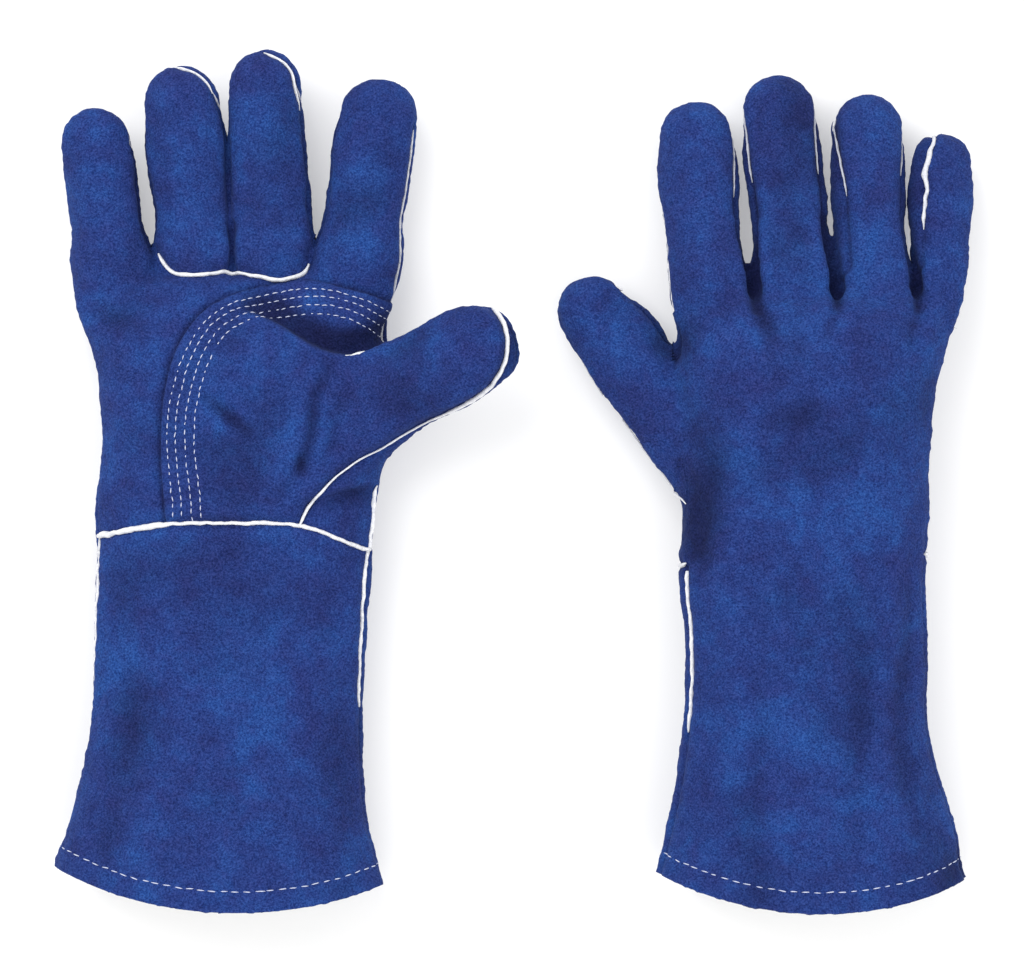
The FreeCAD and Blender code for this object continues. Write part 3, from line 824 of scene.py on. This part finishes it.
def even(path, spacing):
    """A run of points at even spacing, smoothed a little; whatever each row carries comes along."""
    for _ in range(3):
        path = np.concatenate([path[:1], (path[:-2] + 2 * path[1:-1] + path[2:]) / 4, path[-1:]])
    along = np.concatenate([[0], np.cumsum(np.linalg.norm(np.diff(path[:, :3], axis=0), axis=1))])
    stops = np.linspace(0, along[-1], max(int(along[-1] / spacing), 3) + 1)
    return np.stack([np.interp(stops, along, column) for column in path.T], axis=1)


def rope(path, out, wide, high, sides=8):
    """A closed tube along a path, with half widths across it and half heights along `out`."""
    ahead = np.gradient(path, axis=0)
    across = np.cross(ahead, out)
    across /= np.maximum(np.linalg.norm(across, axis=1, keepdims=True), 1e-9)
    out = np.cross(across, ahead)
    out /= np.maximum(np.linalg.norm(out, axis=1, keepdims=True), 1e-9)
    angle = np.arange(sides) * 2 * math.pi / sides
    ring = path[:, None] + np.cos(angle)[None, :, None] * (wide[:, None] * across)[:, None]
    ring = ring + np.sin(angle)[None, :, None] * (high[:, None] * out)[:, None]
    count = len(path)
    i = np.arange(count - 1)[:, None] * sides
    j, k = np.arange(sides)[None], (np.arange(sides)[None] + 1) % sides
    one = np.stack([i + j, i + sides + j, i + k], axis=-1).reshape(-1, 3)
    two = np.stack([i + k, i + sides + j, i + sides + k], axis=-1).reshape(-1, 3)
    fan = np.array([(0, n, n + 1) for n in range(1, sides - 1)])
    return ring.reshape(-1, 3), np.concatenate([one, two, fan, fan[:, ::-1] + (count - 1) * sides])


class Bundle:
    """Ropes gathered by the part that they move with, to be made into one piece for each part."""

    def __init__(self, glove):
        self.glove = glove
        self.parts = {}

    def add(self, part, points, faces, tone=0.0):
        """Takes a rope in; its faces are numbered on from the part's earlier ropes."""
        bodies = self.parts.setdefault(part, [])
        start = sum(len(body[0]) for body in bodies)
        bodies.append((points, faces + start, np.full(len(points), tone)))

    def make(self, ending, material, stands_for):
        for part, bodies in self.parts.items():
            points, faces, tone = [np.concatenate(column) for column in zip(*bodies)]
            made = piece(self.glove, f"{self.glove.name}_{part}_{ending}", points, faces, material, tone)
            if part in stands_for:
                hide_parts(f"{self.glove.name}_{stands_for[part]}")
            bend(self.glove, made, part)


def stretches(glove, run, keep):
    """The kept parts of a run of points: the part of the glove each moves with, its points, and free ends."""
    m = marks(glove, run)
    part = part_of(m)
    good = keep(m)
    start = 0
    for stop in range(1, len(run) + 1):
        if stop == len(run) or part[stop] != part[start] or good[stop] != good[start]:
            if good[start] and stop - start > 3:
                free = (start == 0 or not good[start - 1], stop == len(run) or not good[stop])
                yield part[start], run[start : min(stop + 1, len(run))], free
            start = stop


def welt(glove, bundle, runs, keep, wide, rough, raised, tone):
    """Rolled leather edges sewn into a seam, along the kept parts of its line.

    Their half width is a number or a function, `rough` is the share that it varies by, `raised` is how
    far they are lifted over the plain leather, and the last argument is how much painted shade greys them.
    """
    for run in runs:
        for part, path, free in stretches(glove, run, keep):
            path = even(path, 1.0)
            m = marks(glove, path)
            moved, normal = lifted(glove, path, m, 0.0, raised + 0.5)
            half = wide(m) if callable(wide) else np.full(len(path), wide)
            steps = np.arange(len(path))
            for is_free, from_end in zip(free, (steps, steps[::-1])):
                half = half * (0.35 + 0.65 * ramp(from_end, -1, 5)) if is_free else half
            width = half * (1 + rough * waves(path, 2.0, 7, 31) + rough * waves(path, 12, 40, 32))
            height = half * 1.3 * (1 + rough * waves(path, 2.5, 7, 33))
            sideways = np.cross(normal, np.gradient(path, axis=0))
            moved = moved + (2.0 * rough * half * waves(path, 4, 14, 34))[:, None] * sideways
            moved = glove.above_floor(moved, 1.7 * half + 0.1)
            bundle.add(part, *rope(moved, normal, width, height), tone)


def stitches(glove, bundle, runs, keep, dash, gap, seed, raised=None):
    """Separate stitches along a line, each a short thread that dips into the leather at both ends."""
    draw = np.random.default_rng(seed)
    for run in runs:
        for part, path, _ in stretches(glove, run, keep):
            path = even(path, STITCH_STEP)
            m = marks(glove, path)
            lift = 0.0 if raised is None else raised(m)
            moved, normal = lifted(glove, path, m, 0.0, lift)
            moved = glove.above_floor(moved, 2 * THREAD + FLOOR_GAP)
            at = 0.0
            while at < (len(path) - 1) * STITCH_STEP - dash:
                end = at + dash * (1 + 0.1 * draw.normal())
                stitch = slice(int(at / STITCH_STEP), int(end / STITCH_STEP) + 1)
                at += dash + gap * (1 + 0.15 * draw.normal())
                thread, up = moved[stitch], normal[stitch]
                if len(thread) < 4:
                    continue
                t = np.linspace(0, 1, len(thread))
                arch = np.sin(np.pi * t) ** 0.5
                side = 0.2 * draw.normal() * np.cross(up, thread[-1] - thread[0]) / dash
                thread = thread + (0.3 * arch - 0.15)[:, None] * up + t[:, None] * side
                width = THREAD * (0.55 + 0.45 * arch)
                bundle.add(part, *rope(thread[::2], up[::2], width[::2], np.full(len(t), THREAD)[::2], 6))


def trim(glove, welt_material, thread_material):
    """Every welt and row of stitching."""
    points, faces = surface(glove, TRIM_CELL)
    m = marks(glove, points)
    upper = glove.name == "palmup"
    bundle = Bundle(glove)

    def wrist(m):
        return (m.front > -0.8) & (m.thumb_zone < 0)

    def thumb(m):
        on_hand = (m.front > -1) & (m.thumb_zone <= 0) & (m.y < 60)
        return (m.wrist > 0) & (on_hand | (m.thumb_zone > 0) & (m.thumb_side > -0.5))

    def cuff_side(m):
        up_to = np.where(upper & (m.x > 0), 18.6, ease(m.x, WRIST_X, WRIST_Y))
        return (m.y < up_to) & (m.y > -68 - 6 * np.sign(m.x)) & (upper | (m.x > 0))

    def outer_side(m):
        outside = (m.nearest == 3) & (m.u > 0) | (m.nearest == 0) & (m.u < 0)
        below_tip = m.tip < np.where(m.nearest == 3, -20, 9)
        return (m.thumb_zone < 0) & outside & (m.y > (77 if upper else 96)) & below_tip

    def crescent(m):
        ring, middle = m.nearest == 1, m.nearest == 2
        return ring & (m.tip > -13) & (m.u > -6) | middle & (m.tip > -26) & (m.u > 0)

    def walled(m):
        shown = (m.nearest != 0) | upper  # the palm-down little finger has its own, below
        low = np.select([m.nearest == 3, (m.nearest == 1) & (m.u > 0)], [38, 41], 49)
        return shown & (np.abs(m.rear + m.front) > 0.8) & (m.s > low) & (m.thumb_zone < 0)

    def little(m):
        return (m.nearest == 0) & (not upper) & (m.s > 26) & (m.front < 0.5) & (m.u > -1.5)

    def little_wide(m):
        return 0.8 * (0.5 + 0.5 * ramp(m.s, 26, 36)) * (0.6 + 0.4 * ramp(-m.tip, 2, 12))

    def base(m):
        return (m.front > -7) & (m.y < 116) & (np.abs(m.x) < 31.2)

    def crotch(m):
        middle = np.mean(CROTCH_WELT, axis=0)
        return (m.front > -1) & (np.hypot(m.x - middle[0], m.y - middle[1]) < 5.0)

    def on_patch(m):
        inside = 2 if upper else 6
        return (m.front > inside) & (m.thumb_zone < 0) & (m.wrist > 0.6) & (m.thumb_seam > 4)

    def wrist_wide(m):
        return 0.85 + 0.45 * ramp(-m.x, 24, 32)

    def thumb_wide(m):
        return 0.36 + 0.5 * ramp(m.thumb_cut, 10, 36) + 0.3 * ramp(-m.wrist, -34, -6)

    m.crotch = plan_distance(rounded(CROTCH_WELT), *points.T[:2])[0]
    for name, keep, wide, rough, raised, tone in (  # the last is how much painted shade greys the welt
        ("wrist", wrist, wrist_wide, 0.12, 0.0, 0.0),
        ("thumb_seam", thumb, thumb_wide, 0.1, 0.5 * PATCH, 0.0),
        ("front", cuff_side, 0.75, 0.25, 0.0, 0.0),
        ("front", outer_side, 0.42, 0.25, 0.0, 0.15),
        ("front", crescent, 0.5, 0.2, 0.0, 0.0),
        ("rear", walled, 0.36, 0.3, 0.0, 0.5),
        ("rear", little, little_wide, 0.36, 0.0, 0.15),
        ("crotch", crotch, 0.7, 0.3, 0.7, 0.1),
        ("base", base, 0.85, 0.12, 0.0, 0.0),
    ):
        welt(glove, bundle, contour(points, faces, getattr(m, name)), keep, wide, rough, raised, tone)
    bundle.make("welts", welt_material,
                {"hand": "seam_welts", "cuff": "cuff_side_welts", "thumb": "thumb_welt"})

    thread = Bundle(glove)
    for number, inset in enumerate(PATCH_ROWS):
        closer = ramp(points[:, 1], 60, 90) * (1.4 - 0.21 * inset)  # the rows draw together over the top
        rows = contour(points, faces, m.patch - inset - closer - 0.5 * np.sin(points[:, 1] / 9))
        stitches(glove, thread, rows, on_patch, *PATCH_STITCH, number, patch_lift)
    hem = contour(points, faces, m.hem - HEM_ROW)
    stitches(glove, thread, hem, lambda m: m.hem > 0, *HEM_STITCH, 9)
    thread.make("stitching", thread_material, {})


# ---- materials


class Nodes:
    """A material's nodes, added and joined in short lines."""

    def __init__(self, name):
        self.material = bpy.data.materials.new(name)
        self.material.use_nodes = True
        self.tree = self.material.node_tree
        self.shader = self.tree.nodes["Principled BSDF"]
        self.rest = self.add("ShaderNodeAttribute", attribute_name="rest").outputs["Vector"]
        self.tone = self.add("ShaderNodeAttribute", attribute_name="tone").outputs["Fac"]

    def add(self, kind, inputs=(), **settings):
        node = self.tree.nodes.new(kind)
        for key, value in settings.items():
            setattr(node, key, value)
        for key, value in dict(inputs).items():
            if isinstance(value, bpy.types.NodeSocket):
                self.tree.links.new(value, node.inputs[key])
            else:
                node.inputs[key].default_value = (*value, 1) if isinstance(value, tuple) else value
        return node

    def noise(self, size, detail=3.0, roughness=0.55, warp=0.0):
        """Noise between 0 and 1 with features about size millimetres across."""
        inputs = {"Vector": self.rest, "Scale": 1000 / size, "Detail": detail, "Roughness": roughness}
        return self.add("ShaderNodeTexNoise", {**inputs, "Distortion": warp}).outputs["Fac"]

    def math(self, operation, a, b=0.0):
        return self.add("ShaderNodeMath", {0: a, 1: b}, operation=operation).outputs[0]

    def ramp(self, value, stops):
        node = self.add("ShaderNodeValToRGB", {"Fac": value})
        for number, (place, colour) in enumerate(stops):
            stop = node.color_ramp.elements[number] if number < 2 else node.color_ramp.elements.new(place)
            stop.position = place
            stop.color = (*colour, 1)
        return node.outputs["Color"]

    def mix(self, share, a, b, blend="MIX"):
        inputs = {0: share, 6: a, 7: b}
        return self.add("ShaderNodeMix", inputs, data_type="RGBA", blend_type=blend).outputs[2]

    def bump(self, height, depth):
        """Bumps of a depth in millimetres."""
        node = self.add("ShaderNodeBump", {"Height": height, "Distance": depth / 1000, "Strength": 1.0})
        self.tree.links.new(node.outputs["Normal"], self.shader.inputs["Normal"])

    def finish(self, colour, **constants):
        self.tree.links.new(colour, self.shader.inputs["Base Color"])
        for key, value in constants.items():
            self.shader.inputs[key.replace("_", " ")].default_value = value
        return self.material


def linear(*colour):
    """A colour given as 0 to 255 in sRGB, as linear light."""
    return tuple(((c / 255 + 0.055) / 1.055) ** 2.4 if c > 10 else c / 255 / 12.92 for c in colour)


def suede(name):
    """Dyed split cowhide: blotches of dye, a fine matted nap and short fibres that catch the light."""
    n = Nodes(name)
    large, small = n.noise(34, 4, 0.6, 0.4), n.noise(9, 4, 0.65)
    blotch = n.math("ADD", n.math("MULTIPLY", large, 0.62), n.math("MULTIPLY", small, 0.38))
    dark, middle, light = linear(28, 41, 95), linear(29, 51, 111), linear(29, 63, 127)
    dye = n.ramp(blotch, ((0.38, dark), (0.5, middle), (0.62, light)))
    violet = n.ramp(n.noise(15, 3, 0.6, 0.8), ((0.46, (0, 0, 0)), (0.7, (1, 1, 1))))
    dye = n.mix(n.math("MULTIPLY", violet, 0.3), dye, linear(36, 43, 102))
    # painted shade: the dye is darkened towards deep navy in folds, seam grooves, between the fingers and
    # beside the patch
    painted_crease_shade = n.math("MULTIPLY", n.math("MAXIMUM", n.tone, 0.0), 0.8)
    dye = n.mix(painted_crease_shade, dye, linear(12, 15, 50))
    grain = n.noise(0.8, 2, 0.7, 0.2)
    speck = n.ramp(grain, ((0.33, (0.3, 0.42, 0.56)), (0.5, (0.98, 0.98, 0.99)), (0.67, (2.1, 1.7, 1.4))))
    colour = n.mix(1.0, dye, speck, "MULTIPLY")
    fibre = n.math("ADD", n.math("MULTIPLY", grain, 0.75), n.math("MULTIPLY", n.noise(4.5, 3, 0.6), 0.7))
    n.bump(fibre, 0.6)
    n.shader.inputs["Sheen Tint"].default_value = (*linear(120, 150, 225), 1)
    return n.finish(colour, Roughness=0.95, Sheen_Weight=0.08, Sheen_Roughness=0.5, Specular_IOR_Level=0.15)


def pale(name, low, high, size, depth):
    """An undyed off-white surface with a fine nap."""
    n = Nodes(name)
    colour = n.ramp(n.noise(size, 4, 0.7), ((0.3, linear(*low)), (0.7, linear(*high))))
    # painted shade: a welt's painted-shade share greys it towards blue-grey where it lies in shade
    colour = n.mix(n.tone, colour, linear(118, 124, 150))
    n.bump(n.noise(size * 0.6, 3, 0.7), depth)
    return n.finish(colour, Roughness=0.9, Sheen_Weight=0.1, Specular_IOR_Level=0.2)


def paper(name, grey, glow):
    """A plain pale surface that its own faint light keeps even."""
    n = Nodes(name)
    n.shader.inputs["Base Color"].default_value = (grey, grey, grey, 1)
    n.shader.inputs["Roughness"].default_value = 0.9
    n.shader.inputs["Emission Color"].default_value = (1, 1, 1, 1)
    n.shader.inputs["Emission Strength"].default_value = glow
    return n.material


# ---- the gloves, and the stage


def build():
    blue = suede("blue_split_leather")
    white = pale("undyed_welt_leather", (196, 198, 206), (240, 240, 240), 1.6, 0.4)
    cotton = pale("white_sewing_thread", (168, 176, 205), (206, 210, 226), 0.8, 0.15)
    fleece = pale("lining_fleece", (206, 204, 198), (236, 234, 228), 2.2, 0.9)
    for name in ("palmup", "palmdown"):
        glove = Glove(name)
        leather(glove, blue)
        lining(glove, fleece)
        trim(glove, white, cotton)


def floor(size=3.0):
    data = bpy.data.meshes.new("floor")
    corners = [(x * size, y * size, 0) for x, y in ((-1, -1), (1, -1), (1, 1), (-1, 1))]
    data.from_pydata(corners, [], [(0, 1, 2, 3)])
    data.materials.append(paper("pale_floor", 0.62, 0.34))
    made = bpy.data.objects.new("floor", data)
    bpy.context.scene.collection.objects.link(made)


def light(name, place, size, power):
    lamp = bpy.data.lights.new(name, "AREA")
    lamp.shape = "SQUARE"
    lamp.size = size
    lamp.energy = power
    made = bpy.data.objects.new(name, lamp)
    made.location = place
    made.rotation_euler = (-Vector(place)).to_track_quat("-Z", "Y").to_euler()
    bpy.context.scene.collection.objects.link(made)


def studio():
    """A pale floor, soft light from every side and a camera straight above."""
    floor()
    light("key", (-0.7, 0.9, 1.5), 1.2, 20)
    light("fill", (0.9, -0.6, 1.5), 1.6, 10)
    world = bpy.data.worlds.new("studio")
    world.use_nodes = True
    sky = world.node_tree.nodes["Background"]
    sky.inputs["Color"].default_value = (1, 1, 1, 1)
    sky.inputs["Strength"].default_value = 1.05
    bpy.context.scene.world = world
    bpy.context.scene.view_settings.view_transform = "Standard"
    camera = bpy.data.objects.new("camera", bpy.data.cameras.new("camera"))
    height, width, level = 2.2, 0.424, 0.035  # of the camera, of the view, and where the view is that wide
    camera.location = (-0.0025, -0.0008, height)
    camera.data.lens = camera.data.sensor_width * (height - level) / width
    bpy.context.scene.collection.objects.link(camera)
    bpy.context.scene.camera = camera


build()
studio()
